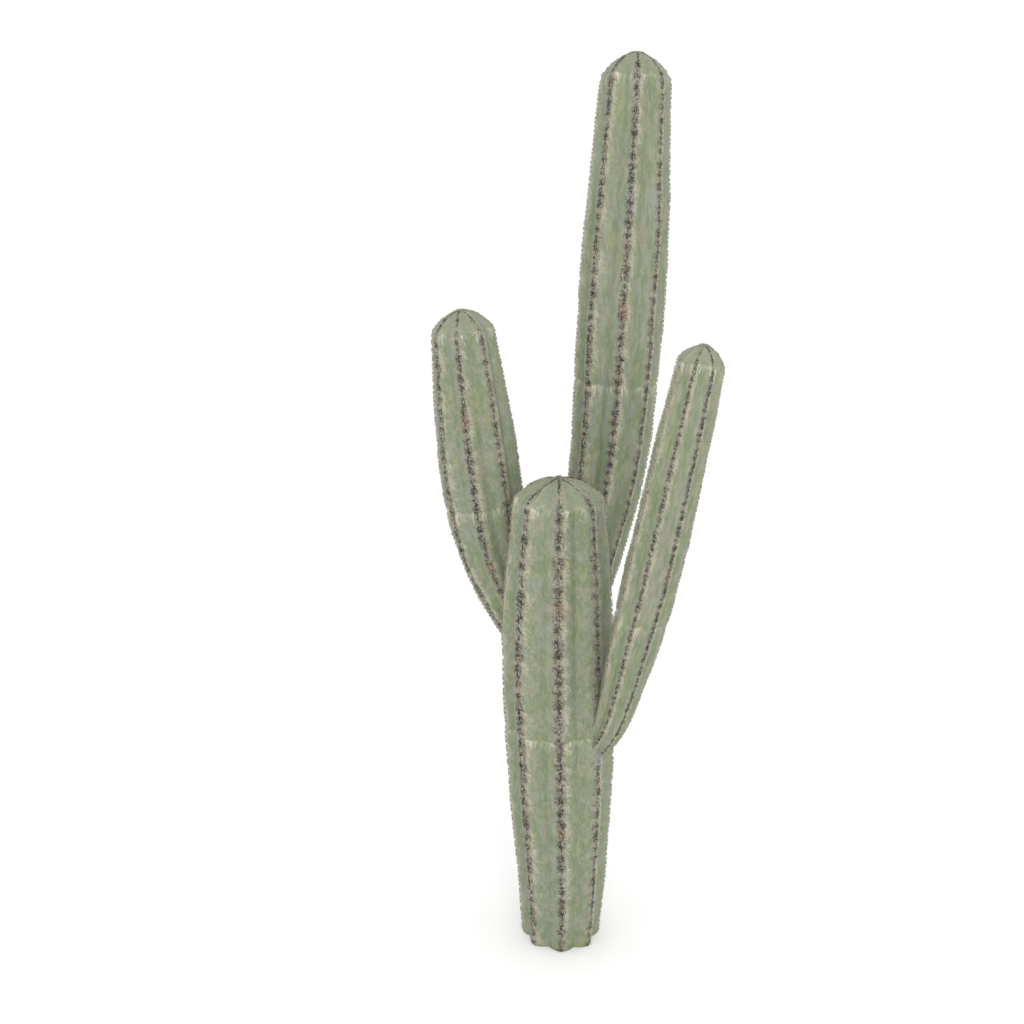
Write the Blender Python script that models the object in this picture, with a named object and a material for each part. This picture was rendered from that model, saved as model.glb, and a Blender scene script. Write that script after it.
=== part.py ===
"""A tree-sized columnar cactus: one stout trunk and three arms that rise beside it, each with eight ribs.

Run it with: blender --background --python part.py
Metres, +Z up. The origin is the middle of the flat cut under the trunk, at ground level.
Seen from the front, which is -Y, one arm stands to the left, a tall one behind and a slim one to the right.
"""

import math
from dataclasses import dataclass

import bmesh
import bpy
from mathutils import Vector
from mathutils.geometry import intersect_point_line

# Ribs, shared by every stem
RIB_COUNT = 8
RIB_DEPTH = 0.17  # how far a valley lies below the crests, as a share of the stem's radius
ROUNDNESS = 1.8  # the flank's exponent: over 1 makes round crests and sharp valleys
CREST_FLAT = 0.22  # half of a crest's flat, as a share of the way from its middle to the valley
FLANK_EDGE = 0.62  # where the flank bends, on the same scale

# Rings of each stem
RING_SPACING = 0.10
PATH_STEPS = 24  # straight steps that measure each span of a path
CROWN_LEVELS = (0.30, 0.55, 0.78, 0.92)  # rings on the crown, as shares of its rise
CROWN_ROUNDNESS = 1.35  # 1 would leave the shoulder at a sharp angle
CROWN_FULLNESS = 1.7  # 1 would make the crown a plain cone
SHARP_ANGLE = 45  # degrees: the valleys stay creased and the crests look round

# Rows of spines, which stand on the crests
SPINE_INSET = 0.06  # the row is this share of the flat narrower at each side
TOOTH_HEIGHT = 0.60  # a cluster's height, as a share of the flat's width
NOTCH_HEIGHT = 0.22  # the row's height between two clusters
SPINE_CLEARANCE = 0.035  # a row stops this far short of another stem
SHORTEST_ROW = 3  # rings

# Gap that neighbouring solids keep
GAP = 0.0003
ROOT_GAP = 0.0005  # measured outwards from the trunk's middle, so that slanted flanks keep GAP


@dataclass
class Stem:
    """The middle line of one stem and the radii over its crests."""

    name: str
    path: tuple  # points that the middle line passes, from foot to tip
    foot_radius: float
    belly_radius: float
    belly_share: float  # where the stem is widest, as a share of the length below its crown
    shoulder_radius: float
    crown_rise: float
    crest_turn: float  # degrees from +X to the nearest crest, seen from above at the tip
    bend_height: float = 0.0  # an arm is split here, at the top of its bend


TRUNK = Stem(
    name="trunk",
    path=((0, 0, 0), (0, 0, 0.40), (-0.015, 0, 1.00), (-0.030, 0, 1.55), (-0.029, 0, 2.275)),
    foot_radius=0.182,
    belly_radius=0.250,
    belly_share=0.62,
    shoulder_radius=0.200,
    crown_rise=0.092,
    crest_turn=-1.0,
)
LEFT_ARM = Stem(
    name="left_arm",
    path=(
        (-0.105, 0.105, 1.44),
        (-0.208, 0.196, 1.580),
        (-0.312, 0.275, 1.840),
        (-0.377, 0.300, 2.190),
        (-0.462, 0.300, 2.957),
    ),
    foot_radius=0.092,
    belly_radius=0.183,
    belly_share=0.52,
    shoulder_radius=0.142,
    crown_rise=0.090,
    crest_turn=-9.0,
    bend_height=1.95,
)
TALL_ARM = Stem(
    name="tall_arm",
    path=(
        (0.010, 0.120, 1.40),
        (0.098, 0.315, 1.70),
        (0.213, 0.500, 2.18),
        (0.270, 0.610, 2.95),
        (0.328, 0.788, 4.035),
    ),
    foot_radius=0.115,
    belly_radius=0.197,
    belly_share=0.62,
    shoulder_radius=0.158,
    crown_rise=0.120,
    crest_turn=-1.5,
    bend_height=2.20,
)
RIGHT_ARM = Stem(
    name="right_arm",
    path=(
        (0.105, -0.095, 1.00),
        (0.205, -0.172, 1.20),
        (0.300, -0.235, 1.63),
        (0.380, -0.262, 2.03),
        (0.537, -0.311, 2.922),
    ),
    foot_radius=0.060,
    belly_radius=0.120,
    belly_share=0.56,
    shoulder_radius=0.098,
    crown_rise=0.075,
    crest_turn=-22.0,
    bend_height=1.66,
)
ARMS = (LEFT_ARM, TALL_ARM, RIGHT_ARM)

# Colours as linear red, green and blue
SKIN_COLOUR = (0.280, 0.312, 0.212, 1.0)
SPINE_COLOUR = (0.085, 0.080, 0.066, 1.0)


def smooth_line(points):
    """The points of a smooth curve through the given ones, by Catmull and Rom's rule."""
    given = [Vector(p) for p in points]
    ends = [given[0] * 2 - given[1], *given, given[-1] * 2 - given[-2]]
    line = []
    for before, start, end, after in zip(ends, ends[1:], ends[2:], ends[3:]):
        for step in range(PATH_STEPS):
            t = step / PATH_STEPS
            line.append(
                0.5
                * (
                    2 * start
                    + (end - before) * t
                    + (2 * before - 5 * start + 4 * end - after) * t**2
                    + (3 * start - before - 3 * end + after) * t**3
                )
            )
    return [*line, given[-1]]


def distances_along(line):
    """How far along the line each of its points lies."""
    found = [0.0]
    for a, b in zip(line, line[1:]):
        found.append(found[-1] + (b - a).length)
    return found


def point_along(line, marks, distance):
    """The point at that distance along the line, and the line's direction there."""
    i = next((i for i in range(1, len(marks) - 1) if marks[i] >= distance), len(marks) - 1)
    share = (distance - marks[i - 1]) / (marks[i] - marks[i - 1])
    before = line[max(i - 2, 0)]
    after = line[min(i + 1, len(line) - 1)]
    return line[i - 1].lerp(line[i], share), (after - before).normalized()


def stem_radius(stem, distance, length):
    """The radius over the crests: a long belly between foot and shoulder, then a round crown."""
    body = length - stem.crown_rise
    belly = body * stem.belly_share
    if distance <= belly:
        swell = math.sin(math.pi / 2 * distance / belly)
        return stem.foot_radius + (stem.belly_radius - stem.foot_radius) * swell
    if distance <= body:
        swell = math.cos(math.pi / 2 * (distance - belly) / (body - belly))
        return stem.shoulder_radius + (stem.belly_radius - stem.shoulder_radius) * swell
    rise = min((distance - body) / stem.crown_rise, 1.0)
    return stem.shoulder_radius * (1 - rise**CROWN_ROUNDNESS) ** (1 / CROWN_FULLNESS)


def section(turn):
    """(angle, share of the radius) of each corner of a ribbed section, rib by rib."""
    half_rib = math.pi / RIB_COUNT
    corners = []
    for rib in range(RIB_COUNT):
        for share in (-CREST_FLAT, CREST_FLAT, FLANK_EDGE, 1.0, 2.0 - FLANK_EDGE):
            away = share if share <= 1 else 2 - share
            angle = math.radians(turn) + (2 * rib + share) * half_rib
            corners.append((angle, 1 - RIB_DEPTH * abs(away) ** ROUNDNESS))
    return corners


def stations_of(stem, length):
    """Distances of the rings: even along the body, then closer over the crown."""
    body = length - stem.crown_rise
    count = round(body / RING_SPACING)
    return [body * i / count for i in range(count + 1)] + [
        body + stem.crown_rise * level for level in CROWN_LEVELS
    ]


class StemShape:
    """The rings of one stem, from foot to crown."""

    def __init__(self, stem):
        self.stem = stem
        self.line = smooth_line(stem.path)
        self.marks = distances_along(self.line)
        self.length = self.marks[-1]
        stations = stations_of(stem, self.length)
        placed = [point_along(self.line, self.marks, d) for d in stations]
        self.centres = [centre for centre, _ in placed]
        self.directions = [direction for _, direction in placed]
        self.directions[0] = (Vector(stem.path[1]) - Vector(stem.path[0])).normalized()
        self.radii = [stem_radius(stem, d, self.length) for d in stations]
        self.sides = self.carried_sides()
        self.rings = self.rings_grown(0.0)
        self.tip = self.line[-1]

    def carried_sides(self):
        """One direction across the stem at each ring, carried down from +X at the tip without twist."""
        side = Vector((1, 0, 0))
        sides = []
        for direction in reversed(self.directions):
            side = (side - side.dot(direction) * direction).normalized()
            sides.append(side)
        return sides[::-1]

    def rings_grown(self, growth):
        """The rings, with the radius over the crests this much larger."""
        rings = []
        for centre, direction, side, radius in zip(
            self.centres, self.directions, self.sides, self.radii
        ):
            other = direction.cross(side)
            rings.append(
                [
                    centre + (side * math.cos(a) + other * math.sin(a)) * (radius * share + growth)
                    for a, share in section(self.stem.crest_turn)
                ]
            )
        return rings

    def distance_to(self, point):
        """How far a point is outside the circle over the stem's crests; negative inside."""
        nearest = None
        for i, (low, high) in enumerate(zip(self.centres, self.centres[1:])):
            on_line, share = intersect_point_line(point, low, high)
            share = min(max(share, 0.0), 1.0)
            away = (point - low.lerp(high, share)).length
            reach = self.radii[i] * (1 - share) + self.radii[i + 1] * share
            if nearest is None or away - reach < nearest:
                nearest = away - reach
        return nearest


def object_from(name, corners, faces, material, parent, smooth=True):
    """An object with this mesh, its faces turned outwards, under the parent empty."""
    mesh = bpy.data.meshes.new(name)
    made = bmesh.new()
    vertices = [made.verts.new(corner) for corner in corners]
    for face in faces:
        made.faces.new([vertices[i] for i in face])
    bmesh.ops.recalc_face_normals(made, faces=made.faces)
    made.to_mesh(mesh)
    made.free()
    if smooth:
        mesh.shade_smooth()
        mesh.set_sharp_from_angle(angle=math.radians(SHARP_ANGLE))
    mesh.materials.append(material)
    obj = bpy.data.objects.new(name, mesh)
    bpy.context.scene.collection.objects.link(obj)
    obj.parent = parent
    return obj


def lofted(rings, closes_at=None):
    """Corners and faces of a solid through the rings, flat at the foot, with a flat top or a tip."""
    size = len(rings[0])
    corners = [corner for ring in rings for corner in ring]
    faces = [tuple(reversed(range(size)))]
    for level in range(len(rings) - 1):
        for i in range(size):
            j = (i + 1) % size
            low, high = level * size, (level + 1) * size
            faces.append((low + i, low + j, high + j, high + i))
    top = (len(rings) - 1) * size
    if closes_at is None:
        faces.append(tuple(range(top, top + size)))
        return corners, faces
    corners.append(closes_at)
    faces += [(top + i, top + (i + 1) % size, len(corners) - 1) for i in range(size)]
    return corners, faces


def cut_away(obj, cutter):
    """Takes the cutter's space out of the object."""
    boolean = obj.modifiers.new("clear_of_" + cutter.name, "BOOLEAN")
    boolean.operation = "DIFFERENCE"
    boolean.solver = "EXACT"
    boolean.object = cutter


def make_arm(shape, material, cutter, parent):
    """An arm in two solids, split at the top of its bend, with its foot cut to fit the trunk."""
    name = shape.stem.name
    split = next(i for i, c in enumerate(shape.centres) if c.z >= shape.stem.bend_height)
    elbow = object_from(f"{name}_elbow", *lofted(shape.rings[: split + 1]), material, parent)
    cut_away(elbow, cutter)
    lifted = [corner + shape.directions[split] * GAP for corner in shape.rings[split]]
    rings = [lifted, *shape.rings[split + 1 :]]
    object_from(f"{name}_column", *lofted(rings, shape.tip), material, parent)


def crest_normal(shape, rib, level):
    """The outward direction of a crest's flat at a ring, and across the stem at the foot's cut."""
    left = len(shape.rings[0]) // RIB_COUNT * rib
    low, high = max(level - 1, 0), min(level + 1, len(shape.rings) - 1)
    across = shape.rings[level][left + 1] - shape.rings[level][left]
    up = shape.rings[high][left] - shape.rings[low][left]
    if level == 0:
        up = shape.directions[0]
    return across.cross(up).normalized()


def spine_sections(shape, rib, levels):
    """Three corners for each section of a spine row: a notch at every ring and a cluster between."""
    left = len(shape.rings[0]) // RIB_COUNT * rib
    sections = []
    for level in levels:
        a, b = shape.rings[level][left], shape.rings[level][left + 1]
        outwards = crest_normal(shape, rib, level)
        lifted = outwards * ROOT_GAP
        feet = (a.lerp(b, SPINE_INSET) + lifted, a.lerp(b, 1 - SPINE_INSET) + lifted)
        sections.append((feet, outwards, (b - a).length))
    found = []
    for i, (feet, outwards, width) in enumerate(sections):
        if i:
            last_feet, last_outwards, last_width = sections[i - 1]
            middle = tuple(p.lerp(q, 0.5) for p, q in zip(last_feet, feet))
            rise = (last_outwards + outwards).normalized() * TOOTH_HEIGHT
            found.append([*middle, middle[0].lerp(middle[1], 0.5) + rise * (last_width + width) / 2])
        found.append([*feet, feet[0].lerp(feet[1], 0.5) + outwards * NOTCH_HEIGHT * width])
    return found


def clear_runs(shape, rib, others):
    """Runs of neighbouring rings where the rib's crest has room for spines beside the other stems."""
    left = len(shape.rings[0]) // RIB_COUNT * rib
    runs = [[]]
    for level, ring in enumerate(shape.rings):
        crest = ring[left].lerp(ring[left + 1], 0.5)
        if all(other.distance_to(crest) > SPINE_CLEARANCE for other in others):
            runs[-1].append(level)
        elif runs[-1]:
            runs.append([])
    return [run for run in runs if len(run) >= SHORTEST_ROW]


def make_spines(shape, others, material, parent):
    """The stem's rows of spines, numbered round it; a row that another stem interrupts is several."""
    number = 0
    for rib in range(RIB_COUNT):
        for levels in clear_runs(shape, rib, others):
            number += 1
            name = f"{shape.stem.name}_spines_{number:02d}"
            sections = spine_sections(shape, rib, levels)
            object_from(name, *lofted(sections), material, parent, smooth=False)


def plain_material(name, colour, roughness):
    """A Principled material of one colour."""
    material = bpy.data.materials.new(name)
    material.use_nodes = True
    shader = material.node_tree.nodes["Principled BSDF"]
    shader.inputs["Base Color"].default_value = colour
    shader.inputs["Roughness"].default_value = roughness
    shader.inputs["Metallic"].default_value = 0.0
    material.diffuse_color = colour
    return material


def clear_scene():
    """Removes every object of the scene."""
    for obj in list(bpy.data.objects):
        bpy.data.objects.remove(obj)


def make_cactus():
    """The whole plant, under one empty."""
    plant = bpy.data.objects.new("cactus", None)
    bpy.context.scene.collection.objects.link(plant)
    skin = plain_material("green_skin", SKIN_COLOUR, 0.6)
    spines = plain_material("dark_spines", SPINE_COLOUR, 0.8)

    trunk = StemShape(TRUNK)
    arms = [StemShape(arm) for arm in ARMS]
    object_from(TRUNK.name, *lofted(trunk.rings, trunk.tip), skin, plant)

    grown = lofted(trunk.rings_grown(ROOT_GAP), trunk.tip + Vector((0, 0, ROOT_GAP)))
    cutter = object_from("trunk_clearance", *grown, skin, plant)
    cutter.hide_render = True
    cutter.display_type = "WIRE"

    make_spines(trunk, arms, spines, plant)
    for arm in arms:
        make_arm(arm, skin, cutter, plant)
        make_spines(arm, [trunk], spines, plant)


clear_scene()
make_cactus()
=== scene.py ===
"""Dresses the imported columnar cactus: finely ribbed skins, felted areoles and their spines.

Metres, +Z up, with the origin in the middle of the cut under the trunk. The front, which is the
photograph's side, is -Y.
"""

import math
from dataclasses import dataclass, field

import bpy
import numpy as np
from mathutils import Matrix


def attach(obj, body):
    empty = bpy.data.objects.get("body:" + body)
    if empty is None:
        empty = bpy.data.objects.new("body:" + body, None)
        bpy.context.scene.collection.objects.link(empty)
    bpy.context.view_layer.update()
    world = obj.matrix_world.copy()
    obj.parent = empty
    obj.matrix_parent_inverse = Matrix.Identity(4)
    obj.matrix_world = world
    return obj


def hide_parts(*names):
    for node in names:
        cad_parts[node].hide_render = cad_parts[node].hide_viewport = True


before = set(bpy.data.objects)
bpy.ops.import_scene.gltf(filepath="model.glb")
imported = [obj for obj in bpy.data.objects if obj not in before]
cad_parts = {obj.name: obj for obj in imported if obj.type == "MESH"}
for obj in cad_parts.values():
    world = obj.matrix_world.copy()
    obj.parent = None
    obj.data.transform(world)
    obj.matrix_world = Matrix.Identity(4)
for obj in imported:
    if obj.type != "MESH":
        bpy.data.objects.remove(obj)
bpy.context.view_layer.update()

SEED = 41

# Ribs, as in the part's source
RIB_COUNT = 8
RIB_DEPTH = 0.17
ROUNDNESS = 1.8
CROWN_ROUNDNESS = 1.35
CROWN_FULLNESS = 1.7
PATH_STEPS = 24
HALF_RIB = math.pi / RIB_COUNT

# The skin's mesh, which is finer than the source's
RINGS_PER_AREOLE = 3
CROWN_RINGS = 18
CORNER_SPACING = 0.010
VALLEY_SOFTNESS = 0.15

# The skin's relief, in metres
LUMP_HEIGHT = 0.0014
LUMP_WAVES = (  # height, radians for each metre, turns round the stem, and phase
    (1.0, 7.1, 2, 1),
    (1.0, 11.3, -3, 2),
    (0.6, 23.0, 5, 3),
    (0.4, 41.0, -4, 1),
)
PLEAT_HEIGHT = 0.0010
PLEAT_RATE = 105  # radians for each metre
TUBERCLE_HEIGHT = 0.0014
GROWTH_DEPTH = 0.0035
GROWTH_WIDTH = 0.020
GROWTH_SPACING = 0.34
FAINT_GROWTH = 0.45  # share of that depth where the photograph shows no ring

# The skin's map: the sides fill it up to this height, and the cut at the foot is a disc above
MAP_SIDES = 0.94
MAP_CUT = (0.03, 0.975)  # its middle
MAP_CUT_RADIUS = 0.02

STROKE_SLANT = 0.5  # how steeply the fine strokes fall away from a crest

# Rows of spines: their strength rises and falls along them, and their areoles' vigour with it
ROW_WAVES = ((24.0, 0.5), (52.0, 0.7), (105.0, 1.2))  # radians for each metre, and height
VIGOUR_SWAY = 0.28
VIGOUR_SPREAD = 0.15  # one standard deviation
LEAST_VIGOUR = 0.3

# Areoles and spines, in metres, where the trunk is widest; they are smaller on slimmer stems
AREOLE_SPACING = 0.024
SPACING_POWER = 0.8  # of the stem's width, which the spacing goes by
AREOLE_SHIFT = 0.006  # one standard deviation
SPINE_CLEARANCE = 0.012
SPINE_BEND = 0.28  # sideways, for each metre of length
PAD_WIDTH = 0.0088
PAD_LENGTH = 0.0100
PAD_HEIGHT = 0.0040
PAD_SIDES = 7
PAD_LEVELS = ((1.0, -0.25), (0.72, 0.62), (0.0, 1.0))  # shares of the width and of the height
PAD_SWELL = (0.85, 1.2)
ROOT_SPREAD = 1.1  # how far out on a pad its spines stand, as a share of its size
ROOT_HEIGHT = 0.001
PALE_SHRINK = 0.25  # how much smaller they are in a pale row
PALE_LEAN = 0.6  # how far their spines lie down there
NEAR_SIZE = 0.35  # their size right beside another stem
NEAR_REACH = 0.06  # metres in which that grows by 1

# The same on a crown, as shares of the spacing and size below it
CROWN_GAP = 0.8  # from the shoulder to the first one
CROWN_SPACING = 0.75
CROWN_SIZE = 0.45  # at the tip
CROWN_WIDENING = 0.4  # more at the shoulder

# Wool at each tip, in metres
WOOL_COUNT = 420
WOOL_SHARE = 0.20  # of the shoulder's radius
WOOL_LENGTH = (0.008, 0.016)
WOOL_RADIUS = 0.0011
WOOL_SINK = 0.004
WOOL_FALL = 0.20  # further down, for each metre out from the tip
WOOL_LEAN = (0.2, 12)  # outwards at the tip, and more for each metre out
WOOL_TANGLE = 0.35  # one standard deviation

# Camera, as the photograph's perspective gives it
CAMERA_PLACE = (-0.2347, -5.92, 4.045)
CAMERA_DROP = 18.0
CAMERA_LENS = 50.0
CAMERA_SENSOR = 36.0

# Floor and lights
FLOOR_REACH = 60.0
FLOOR_COLOUR = (0.95, 0.95, 0.95)
SURROUNDINGS = 1.08
KEY_PLACE = (0.4, -7.5, 6.0)
KEY_TURN = (60, 0, 3)  # degrees
KEY_SIZE = 5.0
KEY_POWER = 200


@dataclass
class Stem:
    """The middle line of one stem and the radii over its crests, as in the part's source."""

    name: str
    path: tuple
    foot_radius: float
    belly_radius: float
    belly_share: float
    shoulder_radius: float
    crown_rise: float
    crest_turn: float
    stretch: float = 1.0  # how far the marks on the skin are drawn out
    paleness: tuple = (1.0, 0.0, 0.0, 0.0, 1.0, 0.0, 0.0, 0.35)  # of the row on each rib
    pale_heights: tuple = ()  # where the photograph shows a pale ring
    accents: tuple = ()  # (rib, height, kind) of each patch in another colour

    def reach(self):
        """How far a patch in another colour goes above and below its height."""
        return ACCENT_REACH * self.stretch**0.5


TRUNK = Stem(
    name="trunk",
    path=((0, 0, 0), (0, 0, 0.40), (-0.015, 0, 1.00), (-0.030, 0, 1.55), (-0.029, 0, 2.275)),
    foot_radius=0.182,
    belly_radius=0.250,
    belly_share=0.62,
    shoulder_radius=0.200,
    crown_rise=0.092,
    crest_turn=-1.0,
    pale_heights=(1.11,),
    accents=(
        (5, 2.12, "pink"),
        (5, 1.00, "pink"),
        (6, 1.95, "pink"),
        (6, 1.755, "rust"),
        (6, 1.22, "slate"),
        (6, 0.66, "rust"),
        (7, 2.11, "slate"),
        (7, 1.00, "slate"),
    ),
)
LEFT_ARM = Stem(
    name="left_arm",
    path=(
        (-0.105, 0.105, 1.44),
        (-0.208, 0.196, 1.580),
        (-0.312, 0.275, 1.840),
        (-0.377, 0.300, 2.190),
        (-0.462, 0.300, 2.957),
    ),
    foot_radius=0.092,
    belly_radius=0.183,
    belly_share=0.52,
    shoulder_radius=0.142,
    crown_rise=0.090,
    crest_turn=-9.0,
    pale_heights=(2.07,),
    accents=((6, 2.50, "rust"), (6, 2.14, "slate"), (6, 1.80, "rust"), (7, 2.84, "slate")),
)
TALL_ARM = Stem(
    name="tall_arm",
    path=(
        (0.010, 0.120, 1.40),
        (0.098, 0.315, 1.70),
        (0.213, 0.500, 2.18),
        (0.270, 0.610, 2.95),
        (0.328, 0.788, 4.035),
    ),
    foot_radius=0.115,
    belly_radius=0.197,
    belly_share=0.62,
    shoulder_radius=0.158,
    crown_rise=0.120,
    crest_turn=-1.5,
    stretch=2.0,
    pale_heights=(2.57,),
    accents=(
        (5, 3.81, "slate"),
        (5, 2.47, "slate"),
        (6, 3.38, "slate"),
        (6, 3.19, "pink"),
        (6, 2.90, "rust"),
        (6, 2.60, "pink"),
        (6, 2.21, "slate"),
    ),
)
RIGHT_ARM = Stem(
    name="right_arm",
    path=(
        (0.105, -0.095, 1.00),
        (0.205, -0.172, 1.20),
        (0.300, -0.235, 1.63),
        (0.380, -0.262, 2.03),
        (0.537, -0.311, 2.922),
    ),
    foot_radius=0.060,
    belly_radius=0.120,
    belly_share=0.56,
    shoulder_radius=0.098,
    crown_rise=0.075,
    crest_turn=-22.0,
    stretch=2.0,
    paleness=(1.0, 0.0, 0.0, 0.0, 1.0, 0.8, 0.0, 0.0),
    pale_heights=(1.72,),
    accents=((7, 2.36, "slate"), (7, 1.965, "rust")),
)
ARMS = (LEFT_ARM, TALL_ARM, RIGHT_ARM)


@dataclass
class SpineKind:
    """One colour of spine, and how such spines stand on an areole."""

    name: str
    colour: tuple
    count: float  # on each areole
    length: tuple  # shortest and longest
    radius: float
    lean: tuple  # degrees from straight out
    towards: float = 0.0  # the side they favour, in degrees from the areole's right
    spread: float = 180.0  # how far to either side of that
    bent: bool = False
    on_pale: float = 1.0  # how many of them grow in a pale row, as a share of the count
    follows: float = 0.0  # the power of an areole's vigour that their number goes by


# Colours are linear red, green and blue
SPINE_KINDS = (
    SpineKind(
        name="dark",
        colour=(0.042, 0.039, 0.033),
        count=9,
        length=(0.011, 0.024),
        radius=0.00155,
        lean=(54, 88),
        on_pale=0.1,
        follows=1.5,
    ),
    SpineKind(
        name="grey",
        colour=(0.150, 0.140, 0.115),
        count=5,
        length=(0.010, 0.026),
        radius=0.00110,
        lean=(48, 88),
        on_pale=0.6,
        follows=0.5,
    ),
    SpineKind(
        name="cream",
        colour=(0.560, 0.520, 0.390),
        count=4.2,
        length=(0.016, 0.040),
        radius=0.00105,
        lean=(68, 89),
        towards=-25.0,
        spread=60.0,
        bent=True,
        follows=-0.3,
    ),
    SpineKind(
        name="straw",
        colour=(0.400, 0.375, 0.270),
        count=2.5,
        length=(0.010, 0.026),
        radius=0.00105,
        lean=(68, 89),
        towards=200.0,
        spread=70.0,
        bent=True,
        follows=-0.3,
    ),
    SpineKind(
        name="white",
        colour=(0.640, 0.620, 0.530),
        count=1.0,
        length=(0.008, 0.015),
        radius=0.00160,
        lean=(25, 80),
    ),
)
ACCENT_KINDS = (
    SpineKind(
        name="rust",
        colour=(0.190, 0.095, 0.065),
        count=9,
        length=(0.010, 0.022),
        radius=0.00130,
        lean=(45, 86),
    ),
    SpineKind(
        name="slate",
        colour=(0.150, 0.155, 0.205),
        count=7,
        length=(0.010, 0.024),
        radius=0.00125,
        lean=(45, 86),
    ),
    SpineKind(
        name="pink",
        colour=(0.500, 0.395, 0.325),
        count=6,
        length=(0.012, 0.028),
        radius=0.00105,
        lean=(68, 89),
        towards=-25.0,
        spread=60.0,
        bent=True,
    ),
)
ACCENT_BLUSH = {"rust": 1.0, "pink": 0.4, "slate": -1.0}  # 1 turns the crest rust, and -1 slate
ACCENT_REACH = 0.034

PAD_COLOURS = {"dark": (0.090, 0.084, 0.068), "tan": (0.230, 0.205, 0.150)}
TAN_SHARE = 0.30
TAN_WEAKNESS = 0.8  # how much that share grows where vigour falls to 0
WOOL_COLOUR = (0.400, 0.375, 0.290)
SPECULAR = 0.3

# What each layer of the skin's material paints
SKIN_COLOURS = {
    "green": (0.186, 0.222, 0.139),
    "grey_green": (0.243, 0.270, 0.198),
    "deep": (0.170, 0.221, 0.113),
    "warm": (0.276, 0.283, 0.150),
    "cool": (0.242, 0.274, 0.228),
    "mauve": (0.288, 0.265, 0.204),
    "light_stroke": (0.324, 0.319, 0.230),
    "dark_stroke": (0.169, 0.208, 0.117),
    "light_fuzz": (0.334, 0.343, 0.259),
    "dark_fuzz": (0.145, 0.176, 0.104),
    "flank": (0.290, 0.289, 0.211),
    "crown": (0.290, 0.309, 0.222),
    "fringe": (0.432, 0.412, 0.303),
    "ring": (0.520, 0.500, 0.385),
    "felt": (0.235, 0.238, 0.196),
    "pink_felt": (0.290, 0.248, 0.214),
    "strong_felt": (0.150, 0.142, 0.115),
    "rust_felt": (0.270, 0.165, 0.120),
    "slate_felt": (0.200, 0.205, 0.225),
    "pale_felt": (0.330, 0.300, 0.235),
    # painted shade: the shade of the spines on the felt, laid on as dark strokes
    "spine_shade": (0.066, 0.062, 0.053),
    "speck": (0.520, 0.500, 0.400),
    "tick": (0.085, 0.115, 0.060),
}


def smooth_line(points):
    """The points of a smooth curve through the given ones, by Catmull and Rom's rule."""
    given = np.array(points, dtype=float)
    ends = np.vstack([given[0] * 2 - given[1], given, given[-1] * 2 - given[-2]])
    line = []
    for before, start, end, after in zip(ends, ends[1:], ends[2:], ends[3:]):
        for step in range(PATH_STEPS):
            t = step / PATH_STEPS
            line.append(
                0.5
                * (
                    2 * start
                    + (end - before) * t
                    + (2 * before - 5 * start + 4 * end - after) * t**2
                    + (3 * start - before - 3 * end + after) * t**3
                )
            )
    return np.array([*line, given[-1]])


def unit(vectors):
    """The vectors at length 1."""
    return vectors / np.linalg.norm(vectors, axis=-1, keepdims=True)


def along(values, marks, distances):
    """Vectors read off between those at the marks."""
    return np.stack([np.interp(distances, marks, values[:, k]) for k in range(3)], axis=-1)


def stem_radius(stem, distance, length):
    """The radius over the crests, as in the part's source."""
    body = length - stem.crown_rise
    belly = body * stem.belly_share
    rising = np.sin(np.pi / 2 * np.clip(distance / belly, 0, 1))
    falling = np.cos(np.pi / 2 * np.clip((distance - belly) / (body - belly), 0, 1))
    radius = np.where(
        distance <= belly,
        stem.foot_radius + (stem.belly_radius - stem.foot_radius) * rising,
        stem.shoulder_radius + (stem.belly_radius - stem.shoulder_radius) * falling,
    )
    rise = np.clip((distance - body) / stem.crown_rise, 0, 1)
    crown = stem.shoulder_radius * (1 - rise**CROWN_ROUNDNESS) ** (1 / CROWN_FULLNESS)
    return np.where(distance <= body, radius, crown)


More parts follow.
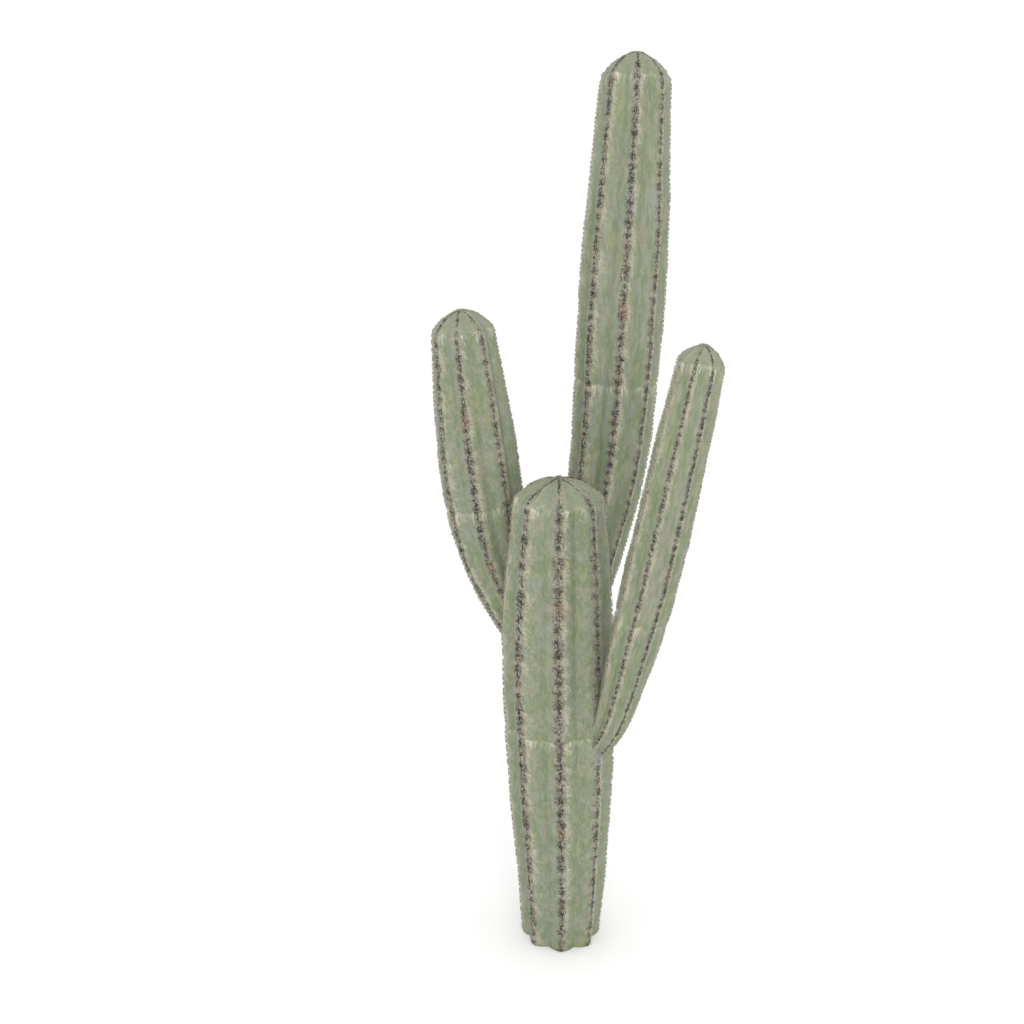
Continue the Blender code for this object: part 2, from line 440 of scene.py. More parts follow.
class StemShape:
    """The fine skin of one stem: a grid of corners, with a row for each ring from foot to crown."""

    def __init__(self, stem, rng):
        self.stem = stem
        self.phases = rng.uniform(0, 10, (RIB_COUNT, len(ROW_WAVES)))
        line = smooth_line(stem.path)
        marks = np.concatenate([[0], np.cumsum(np.linalg.norm(np.diff(line, axis=0), axis=1))])
        self.length = marks[-1]
        self.tip = line[-1]
        body = self.length - stem.crown_rise
        slimness = stem.belly_radius / TRUNK.belly_radius
        self.spacing = AREOLE_SPACING * slimness**SPACING_POWER
        self.body_rings = RINGS_PER_AREOLE * round(body / self.spacing)
        levels = 1 - (1 - np.arange(1, CROWN_RINGS) / CROWN_RINGS) ** CROWN_FULLNESS
        self.distances = np.concatenate(
            [np.linspace(0, body, self.body_rings + 1), body + stem.crown_rise * levels]
        )
        self.centres = along(line, marks, self.distances)
        self.directions = unit(along(np.gradient(line, marks, axis=0), marks, self.distances))
        self.directions[0] = unit(np.subtract(stem.path[1], stem.path[0]))
        self.radii = stem_radius(stem, self.distances, self.length)
        self.per_rib = 2 * round(math.pi * stem.belly_radius / RIB_COUNT / CORNER_SPACING)
        self.set_sides()
        self.set_corners()

    def set_sides(self):
        """Two directions across the stem at each ring, carried down from +X at the tip."""
        side = np.array([1.0, 0, 0])
        sides = []
        for direction in self.directions[::-1]:
            side = unit(side - side @ direction * direction)
            sides.append(side)
        self.sides = np.array(sides[::-1])
        self.others = np.cross(self.directions, self.sides)

    def set_corners(self):
        """The grid of corners, with the relief of a living skin."""
        stem = self.stem
        count = RIB_COUNT * self.per_rib
        column = np.arange(count)
        self.rib = column // self.per_rib
        self.share = 2 * (column % self.per_rib) / self.per_rib - 1
        self.angles = math.radians(stem.crest_turn) + (2 * self.rib + self.share) * HALF_RIB
        away = np.abs(self.share)
        profile = 1 - RIB_DEPTH * (away**ROUNDNESS - VALLEY_SOFTNESS * away**10)
        relief = self.relief(away)
        reach = self.radii[:, None] * profile + relief
        outwards = (
            np.cos(self.angles)[None, :, None] * self.sides[:, None, :]
            + np.sin(self.angles)[None, :, None] * self.others[:, None, :]
        )
        self.corners = self.centres[:, None, :] + outwards * reach[:, :, None]
        self.corners[0, :, 2] = np.where(stem is TRUNK, 0.0, self.corners[0, :, 2])
        around = np.roll(self.corners, -1, axis=1) - np.roll(self.corners, 1, axis=1)
        upwards = np.gradient(self.corners, axis=0)
        self.rights = unit(around)
        self.normals = unit(np.cross(around, upwards))
        self.ups = np.cross(self.normals, self.rights)

    def relief(self, away):
        """How far each corner stands out of the plain ribbed shape."""
        s = self.distances[:, None]
        a = self.angles[None, :]
        size = (self.radii / self.stem.belly_radius)[:, None]
        shift = len(self.stem.name) * 1.7
        lumps = sum(
            height * np.sin(rate * s + turns * a + phase * shift)
            for height, rate, turns, phase in LUMP_WAVES
        )
        wander = 3 * np.sin(6 * a + shift) + 2 * np.sin(9 * s)
        pleats = np.sin(PLEAT_RATE * s + wander) * away**2 * (1 - away**6)
        ring = np.arange(len(self.distances))[:, None] - RINGS_PER_AREOLE // 2
        tubercles = np.cos(2 * np.pi * ring / RINGS_PER_AREOLE) * (1 - away[None, :]) ** 4
        return size * (
            LUMP_HEIGHT * lumps
            + PLEAT_HEIGHT * pleats
            + TUBERCLE_HEIGHT * tubercles
            - GROWTH_DEPTH * self.growth()[:, None]
        )

    def growth(self):
        """1 where a ring of growth pinches the stem, and 0 away from it."""
        shown = np.interp(self.stem.pale_heights, self.centres[:, 2], self.distances)
        highest = self.length - self.stem.crown_rise * 2
        faint = np.arange(shown[0] % GROWTH_SPACING, highest, GROWTH_SPACING)
        rings = np.concatenate([shown, faint])
        weights = np.concatenate([np.full(len(shown), 1.0), np.full(len(faint), FAINT_GROWTH)])
        near = np.exp(-(((self.distances[:, None] - rings) / GROWTH_WIDTH) ** 2)) * weights
        return near.max(axis=1)

    def below_pale(self, distances):
        """How far each distance is below the nearest pale ring; one goes round under each crown."""
        shown = np.interp(self.stem.pale_heights, self.centres[:, 2], self.distances)
        rings = np.append(shown, self.length - self.stem.crown_rise * 0.95)
        below = rings - distances[:, None]
        return below[np.arange(len(distances)), np.abs(below).argmin(axis=1)]

    def strength(self, distances, ribs):
        """How strong the row on each rib is at each distance: waves on both sides of 0."""
        along_row = distances * AREOLE_SPACING / self.spacing
        waves = [
            height * np.sin(rate * along_row + self.phases[ribs, k])
            for k, (rate, height) in enumerate(ROW_WAVES)
        ]
        return sum(waves)

    def blush(self, distances, ribs):
        """The blush of the patch that each distance lies in, and 0 away from the patches."""
        total = np.zeros(len(distances))
        for rib, height, kind in self.stem.accents:
            middle = np.interp(height, self.centres[:, 2], self.distances)
            near = np.exp(-(((distances - middle) / self.stem.reach()) ** 4)) * (ribs == rib)
            total += near * ACCENT_BLUSH[kind]
        return total

    def outside(self, points):
        """How far each point is outside the circle over the crests; negative inside."""
        gaps = points[:, None, :] - self.centres[None, :, :]
        return (np.linalg.norm(gaps, axis=2) - self.radii).min(axis=1)


def new_piece(name, vertices, faces, material, smooth=False):
    """A mesh object that rides with the plant."""
    mesh = bpy.data.meshes.new(name)
    mesh.from_pydata(vertices.reshape(-1, 3).tolist(), [], faces)
    mesh.materials.append(material)
    if smooth:
        mesh.shade_smooth()
    piece = bpy.data.objects.new(name, mesh)
    bpy.context.scene.collection.objects.link(piece)
    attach(piece, "root")
    return piece


def set_attribute(mesh, name, values):
    """Stores one number or vector for each corner of each face."""
    kind = "FLOAT_VECTOR" if values.ndim == 2 else "FLOAT"
    attribute = mesh.attributes.new(name, kind, "CORNER")
    attribute.data.foreach_set("vector" if values.ndim == 2 else "value", values.ravel())


def make_skin(shape, material):
    """The skin of one stem, closed at the foot and at the tip, with its map and attributes."""
    rings, columns = shape.corners.shape[:2]
    i, j = np.meshgrid(np.arange(rings - 1), np.arange(columns), indexing="ij")
    k = (j + 1) % columns
    below, above = i * columns, (i + 1) * columns
    quads = np.stack([below + j, below + k, above + k, above + j], axis=-1)
    c = np.arange(columns)
    last = (rings - 1) * columns
    tip = rings * columns
    cap = [(last + a, last + b, tip) for a, b in zip(c.tolist(), np.roll(c, -1).tolist())]
    faces = quads.reshape(-1, 4).tolist() + cap + [c[::-1].tolist()]
    vertices = np.vstack([shape.corners.reshape(-1, 3), shape.tip])
    skin = new_piece(shape.stem.name + "_skin", vertices, faces, material, smooth=True)

    # Ring, rib and share of a rib at every corner of every face, in the order of the faces
    step = 2 / shape.per_rib
    left = shape.share[j]
    ring = np.concatenate([
        np.stack([i, i, i + 1, i + 1], axis=-1).ravel(),
        np.tile([rings - 1, rings - 1, rings], columns),
        np.zeros(columns, dtype=int),
    ])
    rib = np.concatenate([
        np.repeat(shape.rib[j].ravel(), 4),
        np.repeat(shape.rib, 3),
        shape.rib[::-1],
    ])
    share = np.concatenate([
        np.stack([left, left + step, left + step, left], axis=-1).ravel(),
        np.stack([shape.share, shape.share + step, shape.share + step / 2], axis=-1).ravel(),
        shape.share[::-1],
    ])
    distance = np.append(shape.distances, shape.length)[ring]
    radius = np.append(shape.radii, 0.0)[ring]

    across = (rib + (share + 1) / 2) / RIB_COUNT
    chart = np.stack([across, MAP_SIDES * distance / shape.length], axis=1)
    turn = 2 * np.pi * c / columns
    circle = np.stack([np.cos(turn), np.sin(turn)], axis=1)
    chart[-columns:] = MAP_CUT + MAP_CUT_RADIUS * circle
    skin.data.uv_layers.new(name="OFBake").data.foreach_set("uv", chart.ravel())

    beside = share * HALF_RIB * TRUNK.belly_radius
    angle = (2 * rib + share) * HALF_RIB
    set_attribute(skin.data, "beside_crest", beside)
    set_attribute(skin.data, "valley", np.abs(share))
    set_attribute(skin.data, "below_pale", shape.below_pale(distance))
    set_attribute(skin.data, "blush", shape.blush(distance, rib))
    set_attribute(skin.data, "paleness", np.array(shape.stem.paleness)[rib])
    set_attribute(skin.data, "strength", shape.strength(distance, rib))
    set_attribute(skin.data, "crown", 1 - (shape.length - distance) / shape.stem.crown_rise)
    drawn = distance / shape.stem.stretch
    straight = np.stack([radius * np.cos(angle), radius * np.sin(angle), drawn], axis=1)
    set_attribute(skin.data, "straight", straight)
    apart = rib * 1.7 + len(shape.stem.name)
    slanted = np.stack([beside, apart, distance + STROKE_SLANT * np.abs(beside)], axis=1)
    set_attribute(skin.data, "slanted", slanted)
    return skin


@dataclass
class Areoles:
    """Places on the skins where spines grow, with the directions out, up and to the right there."""

    places: list = field(default_factory=list)
    normals: list = field(default_factory=list)
    rights: list = field(default_factory=list)
    ups: list = field(default_factory=list)
    sizes: list = field(default_factory=list)
    vigour: list = field(default_factory=list)
    pale: list = field(default_factory=list)
    accents: list = field(default_factory=list)

    def add(self, shape, ring, column, size, vigour, accent, rng):
        """One more areole, a little off its place on the crest."""
        shift = rng.normal(0, (AREOLE_SHIFT, AREOLE_SHIFT / 2)) * size
        up, right = shape.ups[ring, column], shape.rights[ring, column]
        self.places.append(shape.corners[ring, column] + up * shift[0] + right * shift[1])
        self.normals.append(shape.normals[ring, column])
        self.rights.append(right)
        self.ups.append(up)
        self.sizes.append(size)
        self.vigour.append(vigour)
        self.pale.append(shape.stem.paleness[shape.rib[column]])
        self.accents.append(accent)

    def arrays(self):
        """Each of the lists as an array."""
        names = ("places", "normals", "rights", "ups", "sizes", "vigour", "pale", "accents")
        return [np.array(getattr(self, name)) for name in names]


def areole_rings(shape):
    """(ring, size) of each areole on a rib: even on the body, closer and smaller on the crown."""
    body = range(RINGS_PER_AREOLE // 2, shape.body_rings, RINGS_PER_AREOLE)
    found = [(ring, 1.0) for ring in body]
    crest = shape.corners[:, shape.per_rib // 2]
    gone = 0.0
    wanted = shape.spacing * CROWN_GAP
    for ring in range(shape.body_rings, len(shape.distances)):
        gone += np.linalg.norm(crest[ring] - crest[ring - 1])
        if gone >= wanted:
            size = CROWN_SIZE + CROWN_WIDENING * shape.radii[ring] / shape.stem.shoulder_radius
            found.append((ring, size))
            wanted = shape.spacing * CROWN_SPACING * size
            gone = 0.0
    return found


def accent_at(stem, rib, height):
    """The kind of the coloured patch that an areole belongs to, if any."""
    for accent_rib, accent_height, kind in stem.accents:
        if rib == accent_rib and abs(height - accent_height) < stem.reach():
            return kind
    return ""


def find_areoles(shapes, rng):
    """The areoles of every rib, left out where another stem is in the way."""
    found = Areoles()
    for shape in shapes:
        if shape.stem is TRUNK:
            others = [other for other in shapes if other is not shape]
        else:
            others = [other for other in shapes if other.stem is TRUNK]
        rings = areole_rings(shape)
        for rib in range(RIB_COUNT):
            column = rib * shape.per_rib + shape.per_rib // 2
            crest = shape.corners[[ring for ring, _ in rings], column]
            room = np.min([other.outside(crest) for other in others], axis=0)
            for (ring, size), gap, place in zip(rings, room, crest):
                if gap < SPINE_CLEARANCE:
                    continue
                strength = shape.strength(shape.distances[ring], rib)
                vigour = 1.0 + VIGOUR_SWAY * strength + rng.normal(0, VIGOUR_SPREAD)
                vigour = max(LEAST_VIGOUR, vigour)
                accent = accent_at(shape.stem, rib, place[2])
                fit = min(1.0, NEAR_SIZE + gap / NEAR_REACH)
                fit *= max(shape.radii[ring], shape.stem.shoulder_radius) / TRUNK.belly_radius
                fit *= 1 - PALE_SHRINK * shape.stem.paleness[rib]
                found.add(shape, ring, column, size * fit, vigour, accent, rng)
    return found


def cones(places, directions, lengths, radius, bends=None):
    """Corners and faces of three-sided spines, in two lengths where they bend."""
    helper = np.where(np.abs(directions[:, 2:]) < 0.9, [[0.0, 0, 1]], [[1.0, 0, 0]])
    across = unit(np.cross(directions, helper))
    other = np.cross(directions, across)
    turns = (2 * np.pi * np.arange(3) / 3)[:, None]
    ring = (across[:, None] * np.cos(turns) + other[:, None] * np.sin(turns)) * radius
    ends = places + directions * lengths[:, None]
    parts = [places[:, None] + ring]
    faces = [(0, 1, 3), (1, 2, 3), (2, 0, 3)]
    if bends is not None:
        middles = places + directions * lengths[:, None] * 0.5 - bends * lengths[:, None] * 0.5
        parts.append(middles[:, None] + ring * 0.8)
        faces = [(0, 1, 4, 3), (1, 2, 5, 4), (2, 0, 3, 5), (3, 4, 6), (4, 5, 6), (5, 3, 6)]
    corners = np.concatenate([*parts, ends[:, None]], axis=1)
    corners = corners[corners[:, :, 2].min(axis=1) > 0]
    return corners, repeated(faces, len(corners), corners.shape[1])


def repeated(faces, count, size):
    """The faces of one small body for each of many, which have so many corners each."""
    return [tuple(c + n * size for c in face) for n in range(count) for face in faces]


def make_spines(kind, areoles, chosen, rng):
    """One piece with every spine of this kind."""
    places, normals, rights, ups, sizes, vigour, pale, _ = areoles
    counts = kind.count * (1 - pale[chosen] * (1 - kind.on_pale))
    wanted = counts * (vigour[chosen] ** kind.follows + rng.uniform(-0.2, 0.2, len(chosen)))
    owners = np.repeat(chosen, np.maximum(wanted.round(), 0).astype(int))
    count = len(owners)
    turn = np.radians(kind.towards + rng.uniform(-1, 1, count) * kind.spread)
    lean = rng.uniform(*kind.lean, count)
    lean = np.radians(lean + PALE_LEAN * pale[owners] * (90 - lean))
    flat = rights[owners] * np.cos(turn)[:, None] + ups[owners] * np.sin(turn)[:, None]
    directions = unit(normals[owners] * np.cos(lean)[:, None] + flat * np.sin(lean)[:, None])
    lengths = rng.uniform(*kind.length, count) * sizes[owners] * vigour[owners] ** 0.5
    within = np.sqrt(rng.uniform(0, 1, count)) * sizes[owners]
    around = rng.uniform(0, 2 * np.pi, count)
    roots = (
        places[owners]
        + rights[owners] * (np.cos(around) * within * PAD_WIDTH * ROOT_SPREAD)[:, None]
        + ups[owners] * (np.sin(around) * within * PAD_LENGTH * ROOT_SPREAD)[:, None]
        + normals[owners] * ROOT_HEIGHT
    )
    bends = ups[owners] * rng.uniform(-0.2, 1, (count, 1)) * SPINE_BEND if kind.bent else None
    corners, faces = cones(roots, directions, lengths, kind.radius, bends)
    material = plain_material(kind.name + "_spine", kind.colour, roughness=0.62)
    return new_piece("spines_" + kind.name, corners, faces, material)


def make_pads(name, areoles, chosen, rng):
    """The felt pads under the spines: low uneven domes."""
    places, normals, rights, ups, sizes = [values[chosen] for values in areoles[:5]]
    sides = PAD_SIDES
    count = len(places)
    corners = np.empty((count, 2 * sides + 1, 3))
    for level, (wide, high) in enumerate(PAD_LEVELS):
        for k in range(sides if wide else 1):
            angle = 2 * math.pi * k / sides
            swell = sizes * rng.uniform(*PAD_SWELL, count)
            corners[:, level * sides + k] = (
                places
                + rights * (PAD_WIDTH * wide * math.cos(angle) * swell)[:, None]
                + ups * (PAD_LENGTH * wide * math.sin(angle) * swell)[:, None]
                + normals * (PAD_HEIGHT * high * swell)[:, None]
            )
    corners[:, :, 2] = np.maximum(corners[:, :, 2], 0)
    one = [(k, (k + 1) % sides, sides + (k + 1) % sides, sides + k) for k in range(sides)]
    cap = [(sides + k, sides + (k + 1) % sides, 2 * sides) for k in range(sides)]
    faces = repeated(one + cap, count, 2 * sides + 1)
    material = plain_material(name + "_felt", PAD_COLOURS[name], roughness=0.95)
    return new_piece("areole_pads_" + name, corners, faces, material, smooth=True)


def make_wool(shapes, rng):
    """A tuft of short pale wool at the tip of each stem, where the ribs meet."""
    roots, directions, lengths = [], [], []
    for shape in shapes:
        axis, side, other = shape.directions[-1], shape.sides[-1], shape.others[-1]
        upright, leaning = WOOL_LEAN
        for _ in range(WOOL_COUNT):
            away = WOOL_SHARE * shape.stem.shoulder_radius * math.sqrt(rng.uniform(0, 1))
            angle = rng.uniform(0, 2 * math.pi)
            outwards = side * math.cos(angle) + other * math.sin(angle)
            roots.append(shape.tip + outwards * away - axis * (WOOL_SINK + away * WOOL_FALL))
            tangle = rng.normal(0, WOOL_TANGLE, 3)
            directions.append(axis + outwards * (upright + leaning * away) + tangle)
            lengths.append(rng.uniform(*WOOL_LENGTH))
    directions = unit(np.array(directions))
    corners, faces = cones(np.array(roots), directions, np.array(lengths), WOOL_RADIUS)
    material = plain_material("crown_wool", WOOL_COLOUR, roughness=0.9)
    return new_piece("crown_wool", corners, faces, material)


def plain_material(name, colour, roughness):
    """A Principled material of one colour."""
    material = bpy.data.materials.new(name)
    material.use_nodes = True
    shader = material.node_tree.nodes["Principled BSDF"]
    shader.inputs["Base Color"].default_value = (*colour, 1)
    shader.inputs["Roughness"].default_value = roughness
    shader.inputs["Specular IOR Level"].default_value = SPECULAR
    return material


class Shader:
    """Short ways to lay out a material's nodes."""

    def __init__(self, name):
        self.material = bpy.data.materials.new(name)
        self.material.use_nodes = True
        self.tree = self.material.node_tree
        self.principled = self.tree.nodes["Principled BSDF"]

    def put(self, socket, value):
        """Links a socket to this one, or sets its number or colour."""
        if isinstance(value, bpy.types.NodeSocket):
            self.tree.links.new(value, socket)
        elif isinstance(value, tuple) and len(socket.default_value) == 4:
            socket.default_value = (*value, 1)
        else:
            socket.default_value = value

    def attribute(self, name, output="Fac"):
        """What the mesh stores under this name."""
        node = self.tree.nodes.new("ShaderNodeAttribute")
        node.attribute_name = name
        return node.outputs[output]

    def calc(self, operation, first, second=0.0):
        """One sum, product or the like of two values."""
        node = self.tree.nodes.new("ShaderNodeMath")
        node.operation = operation
        self.put(node.inputs[0], first)
        self.put(node.inputs[1], second)
        return node.outputs[0]

    def times(self, first, *others):
        """The product of all the values."""
        for other in others:
            first = self.calc("MULTIPLY", first, other)
        return first

    def ramp(self, value, low, high, to_low=0.0, to_high=1.0):
        """The value taken smoothly from the span low to high onto another span."""
        node = self.tree.nodes.new("ShaderNodeMapRange")
        node.interpolation_type = "SMOOTHSTEP"
        for socket, number in zip(node.inputs, (value, low, high, to_low, to_high)):
            self.put(socket, number)
        return node.outputs[0]

    def noise(self, place, scale, detail=3.0, roughness=0.5, offset=(0.0, 0.0, 0.0)):
        """Noise with its own scale along each axis."""
        mapping = self.tree.nodes.new("ShaderNodeMapping")
        self.put(mapping.inputs["Vector"], place)
        mapping.inputs["Scale"].default_value = scale
        mapping.inputs["Location"].default_value = offset
        node = self.tree.nodes.new("ShaderNodeTexNoise")
        self.put(node.inputs["Vector"], mapping.outputs[0])
        node.inputs["Scale"].default_value = 1.0
        node.inputs["Detail"].default_value = detail
        node.inputs["Roughness"].default_value = roughness
        return node.outputs[0]

    def mix(self, factor, first, second):
        """The second colour over the first, by so much."""
        node = self.tree.nodes.new("ShaderNodeMix")
        node.data_type = "RGBA"
        self.put(node.inputs["Factor"], factor)
        self.put(node.inputs[6], first)
        self.put(node.inputs[7], second)
        return node.outputs[2]


class SkinShader(Shader):
    """Matt grey-green skin: mottled, with felted crests and painted spine shade on them, cream
    fringes, pale rings and scars.
    """

    def __init__(self):
        super().__init__("cactus_skin")
        self.straight = self.attribute("straight", "Vector")
        self.slanted = self.attribute("slanted", "Vector")
        self.beside = self.attribute("beside_crest")
        self.valley = self.attribute("valley")
        self.below = self.attribute("below_pale")
        self.blush = self.attribute("blush")
        self.crown = self.attribute("crown")
        self.paleness = self.attribute("paleness")
        self.strength = self.attribute("strength")
        self.streaks = self.noise(self.straight, (36, 36, 22), 4, 0.65)
        self.fuzz = self.noise(self.straight, (110, 110, 75), 4, 0.7, (6, 6, 6))
        self.fine = self.noise(self.straight, (210, 210, 110), 3, 0.6)

        self.colour = None
        self.add_mottling()
        self.add_flanks()
        self.add_fringes()
        self.add_rings()
        self.add_rows()
        self.add_ticks()
        self.put(self.principled.inputs["Base Color"], self.colour)
        self.set_surface()

    def paint(self, share, name):
        """Lays one of the skin's colours over what is there."""
        self.colour = self.mix(share, self.colour, SKIN_COLOURS[name])

    def add_mottling(self):
        """The ground colour, with soft patches and fine strokes."""
        straight, noise, ramp = self.straight, self.noise, self.ramp
        patches = noise(straight, (9, 9, 6), 3, 0.6, (3, 1, 7))
        warm = noise(straight, (17, 17, 11), 4, 0.65, (9, 4, 2))
        cool = noise(straight, (15, 15, 10), 4, 0.65, (2, 8, 5))
        mauve = noise(straight, (21, 21, 14), 4, 0.65, (4, 2, 9))
        brush = noise(straight, (70, 70, 34), 3, 0.6, (8, 3, 5))
        self.colour = self.mix(
            ramp(self.streaks, 0.36, 0.64), SKIN_COLOURS["green"], SKIN_COLOURS["grey_green"]
        )
        self.paint(ramp(patches, 0.44, 0.60, 0.0, 0.80), "deep")
        self.paint(ramp(warm, 0.52, 0.64, 0.0, 0.65), "warm")
        self.paint(ramp(cool, 0.52, 0.66, 0.0, 0.80), "cool")
        self.paint(ramp(mauve, 0.51, 0.62, 0.0, 0.64), "mauve")
        self.paint(ramp(brush, 0.50, 0.66, 0.0, 0.45), "light_stroke")
        self.paint(ramp(brush, 0.48, 0.34, 0.0, 0.45), "dark_stroke")
        self.paint(ramp(self.fuzz, 0.52, 0.72, 0.0, 0.50), "light_fuzz")
        self.paint(ramp(self.fuzz, 0.46, 0.30, 0.0, 0.50), "dark_fuzz")

    def add_flanks(self):
        """Paler skin near the crests, most of all on their right, and on the crown."""
        ramp = self.ramp
        pale = self.times(
            ramp(self.valley, 0.62, 0.15, 0.0, 0.32),
            ramp(self.streaks, 0.25, 0.60, 0.3, 1.0),
            ramp(self.beside, -0.01, 0.01, 0.35, 1.15),
        )
        self.paint(pale, "flank")
        self.paint(ramp(self.crown, 0.0, 0.15, 0.0, 0.35), "crown")

    def add_fringes(self):
        """Cream strokes beside the crests, longer on their right."""
        strokes = self.noise(self.slanted, (66, 1, 150), 4, 0.75, (5, 5, 5))
        clumps = self.noise(self.slanted, (6, 1, 15), 3, 0.65, (0, 3, 0))
        reach = self.ramp(clumps, 0.36, 0.60, 0.036, 0.088)
        right = self.fringe(strokes, reach, start=0.010, weight=0.25, low=0.57, most=0.86)
        reach = self.ramp(clumps, 0.60, 0.40, -0.020, -0.060)
        left = self.fringe(strokes, reach, start=-0.010, weight=0.12, low=0.60, most=0.50)
        on_crown = self.ramp(self.crown, -0.15, 0.25, 1.0, 0.25)
        self.paint(self.times(self.calc("MAXIMUM", right, left), on_crown), "fringe")

    def fringe(self, strokes, reach, start, weight, low, most):
        """The strokes on one side of the crests, denser towards them; the left side is below 0."""
        calc, ramp = self.calc, self.ramp
        density = self.times(
            ramp(self.beside, reach, calc("MULTIPLY", reach, 0.1)),
            ramp(self.beside, 0.0, start),
        )
        shown = ramp(calc("ADD", strokes, calc("MULTIPLY", density, weight)), low, 0.74, 0.0, most)
        return self.times(shown, ramp(density, 0.0, 0.15))

    def add_rings(self):
        """The pale rings, which drip down the skin."""
        ramp, calc = self.ramp, self.calc
        drips = self.noise(self.straight, (125, 125, 14), 3, 0.65, (7, 2, 2))
        broken = self.noise(self.straight, (19, 19, 12), 3, 0.6, (1, 9, 4))
        edge = calc("ADD", self.below, ramp(broken, 0.25, 0.75, -0.016, 0.016))
        left = calc("SUBTRACT", ramp(drips, 0.38, 0.68, 0.004, 0.062), edge)
        ring = self.times(
            ramp(edge, -0.004, 0.006),
            ramp(left, 0.0, 0.014),
            ramp(broken, 0.36, 0.54, 0.40, 1.0),
            ramp(self.beside, 0.04, 0.09, 1.0, 0.6),
            ramp(self.beside, -0.01, 0.01, 0.6, 1.0),
            ramp(self.valley, 0.85, 0.35, 0.50, 1.0),
        )
        self.paint(ring, "ring")

    def add_rows(self):
        """Felt on the crests, with dark strokes of painted spine shade and light specks in it."""
        slanted, noise, ramp, calc = self.slanted, self.noise, self.ramp, self.calc
        row_noise = noise(slanted, (100, 1, 66), 4, 0.75, (1, 2, 3))
        specks = noise(slanted, (150, 1, 130), 2, 0.6, (4, 7, 1))
        knots = noise(slanted, (4, 1, 23), 2, 0.6, (3, 3, 3))
        near = calc("ABSOLUTE", calc("ADD", self.beside, ramp(row_noise, 0.25, 0.75, -0.009, 0.009)))
        near = calc("ADD", near, ramp(knots, 0.32, 0.68, 0.005, -0.007))
        near = calc("ADD", near, ramp(self.crown, 0.0, 0.6, 0.0, 0.005))
        row = ramp(near, 0.031, 0.014)

        share = self.times(row, ramp(self.blush, 0.0, 0.8, 0.66, 0.90))
        self.colour = self.mix(share, self.colour, self.felt())
        # Painted shade of the spines: dark strokes over the felt, fainter in pale rows
        shade_strokes = calc("ADD", row_noise, ramp(self.strength, -1.6, 1.6, -0.05, 0.05))
        dark = self.times(
            ramp(shade_strokes, 0.49, 0.57, 0.0, 0.85),
            ramp(self.paleness, 0.0, 1.0, 1.0, 0.15),
            ramp(knots, 0.35, 0.60, 0.65, 1.15),
        )
        self.paint(self.times(row, dark), "spine_shade")
        self.paint(self.times(row, ramp(specks, 0.58, 0.66, 0.0, 0.85)), "speck")

    def felt(self):
        """The felt's colour, by the row's strength, its patches and how pale it is."""
        tints, mix, ramp = SKIN_COLOURS, self.mix, self.ramp
        pink = self.noise(self.slanted, (3, 1, 12), 2, 0.6, (6, 1, 3))
        felt = mix(ramp(pink, 0.40, 0.62), tints["felt"], tints["pink_felt"])
        felt = mix(ramp(self.strength, -1.2, 1.2), felt, tints["strong_felt"])
        felt = mix(ramp(self.blush, 0.1, 0.8), felt, tints["rust_felt"])
        felt = mix(ramp(self.blush, -0.1, -0.8), felt, tints["slate_felt"])
        return mix(self.paleness, felt, tints["pale_felt"])

    def add_ticks(self):
        """A few small dark scars."""
        ticks = self.noise(self.straight, (90, 90, 34), 1, 0.5, (8, 8, 1))
        self.paint(self.ramp(ticks, 0.735, 0.775, 0.0, 0.7), "tick")

    def set_surface(self):
        """Roughness, gloss and fine bumps."""
        self.put(self.principled.inputs["Roughness"], self.ramp(self.fine, 0.2, 0.8, 0.55, 0.75))
        self.principled.inputs["Specular IOR Level"].default_value = SPECULAR
        bump = self.tree.nodes.new("ShaderNodeBump")
        bump.inputs["Strength"].default_value = 0.4
        bump.inputs["Distance"].default_value = 0.002
        coarse, fine = self.times(self.fuzz, 0.9), self.times(self.fine, 0.6)
        self.put(bump.inputs["Height"], self.calc("ADD", coarse, fine))
        self.put(self.principled.inputs["Normal"], bump.outputs[0])


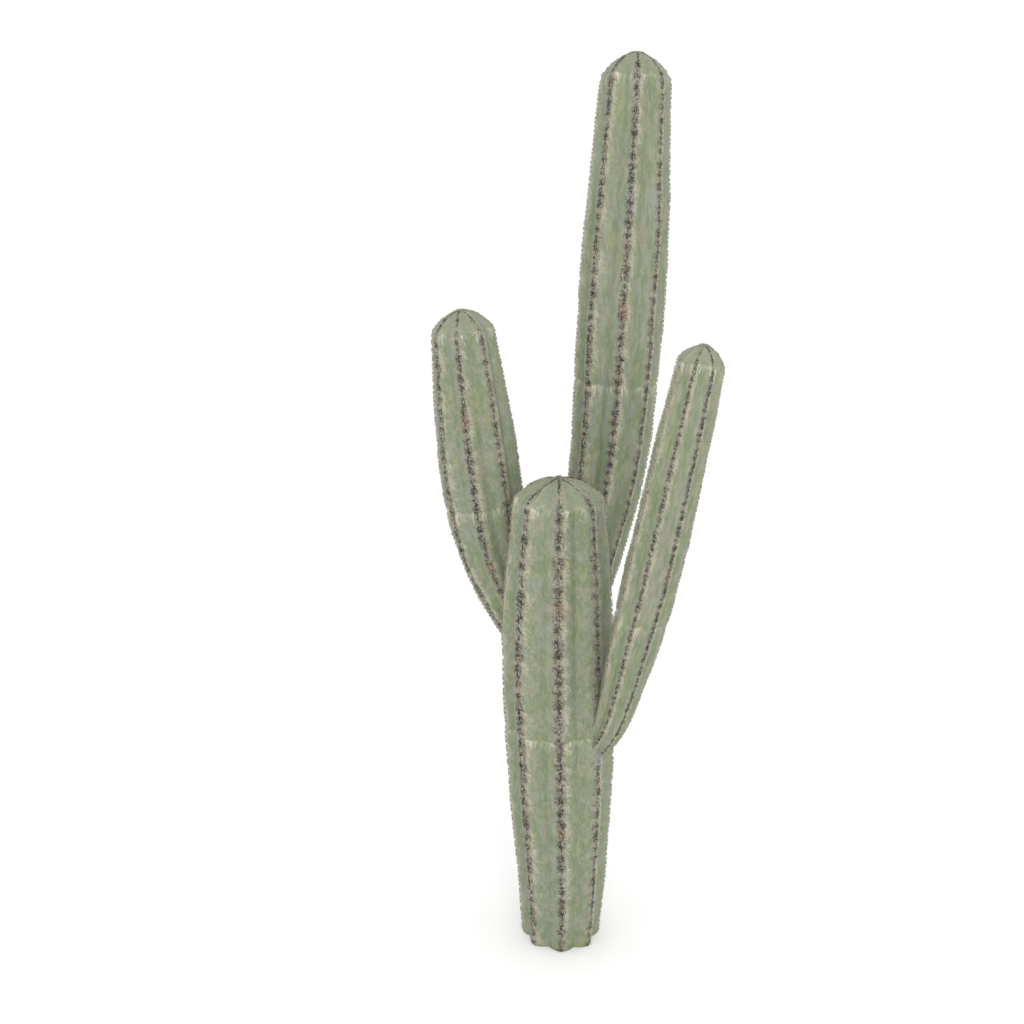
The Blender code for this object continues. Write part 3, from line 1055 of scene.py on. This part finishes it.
def make_plant():
    """Every visible piece of the plant, with the imported parts that they replace hidden."""
    rng = np.random.default_rng(SEED)
    shapes = [StemShape(stem, rng) for stem in (TRUNK, *ARMS)]
    material = SkinShader().material
    for shape in shapes:
        skin = make_skin(shape, material)
        name = shape.stem.name
        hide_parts(*(["trunk"] if shape.stem is TRUNK else [f"{name}_elbow", f"{name}_column"]))

    areoles = find_areoles(shapes, rng).arrays()
    vigour, pale, accents = areoles[-3:]
    every = np.arange(len(accents))
    tan_share = TAN_SHARE + pale + TAN_WEAKNESS * (1 - vigour)
    tan = rng.uniform(0, 1, len(accents)) < tan_share
    pads = make_pads("dark", areoles, np.flatnonzero(~tan), rng)
    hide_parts(*[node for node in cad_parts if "_spines_" in node])
    make_pads("tan", areoles, np.flatnonzero(tan), rng)
    for kind in SPINE_KINDS:
        # No dark spines grow in a rust patch
        chosen = np.flatnonzero(accents != "rust") if kind.name == "dark" else every
        make_spines(kind, areoles, chosen, rng)
    for kind in ACCENT_KINDS:
        make_spines(kind, areoles, np.flatnonzero(accents == kind.name), rng)
    make_wool(shapes, rng)


def make_floor():
    """A plain pale floor, as wide as any view of it."""
    mesh = bpy.data.meshes.new("floor")
    signs = ((-1, -1), (1, -1), (1, 1), (-1, 1))
    corners = [(x * FLOOR_REACH, y * FLOOR_REACH, 0) for x, y in signs]
    mesh.from_pydata(corners, [], [(0, 1, 2, 3)])
    floor = bpy.data.objects.new("floor", mesh)
    bpy.context.scene.collection.objects.link(floor)
    mesh.materials.append(plain_material("pale_floor", FLOOR_COLOUR, roughness=0.9))


def make_lights():
    """White surroundings and one broad, weak and soft light from the front."""
    world = bpy.data.worlds.new("studio")
    bpy.context.scene.world = world
    world.use_nodes = True
    background = world.node_tree.nodes["Background"]
    background.inputs["Color"].default_value = (1, 1, 1, 1)
    background.inputs["Strength"].default_value = SURROUNDINGS
    light = bpy.data.lights.new("key", "AREA")
    light.shape = "DISK"
    light.size = KEY_SIZE
    light.energy = KEY_POWER
    key = bpy.data.objects.new("key", light)
    key.location = KEY_PLACE
    key.rotation_euler = [math.radians(turn) for turn in KEY_TURN]
    bpy.context.scene.collection.objects.link(key)


def make_camera():
    """The photograph's camera."""
    camera = bpy.data.objects.new("camera", bpy.data.cameras.new("camera"))
    camera.data.lens = CAMERA_LENS
    camera.data.sensor_width = CAMERA_SENSOR
    camera.location = CAMERA_PLACE
    camera.rotation_euler = (math.radians(90 - CAMERA_DROP), 0, 0)
    bpy.context.scene.collection.objects.link(camera)
    bpy.context.scene.camera = camera
    bpy.context.scene.view_settings.view_transform = "Standard"


make_camera()
make_lights()
make_floor()
make_plant()
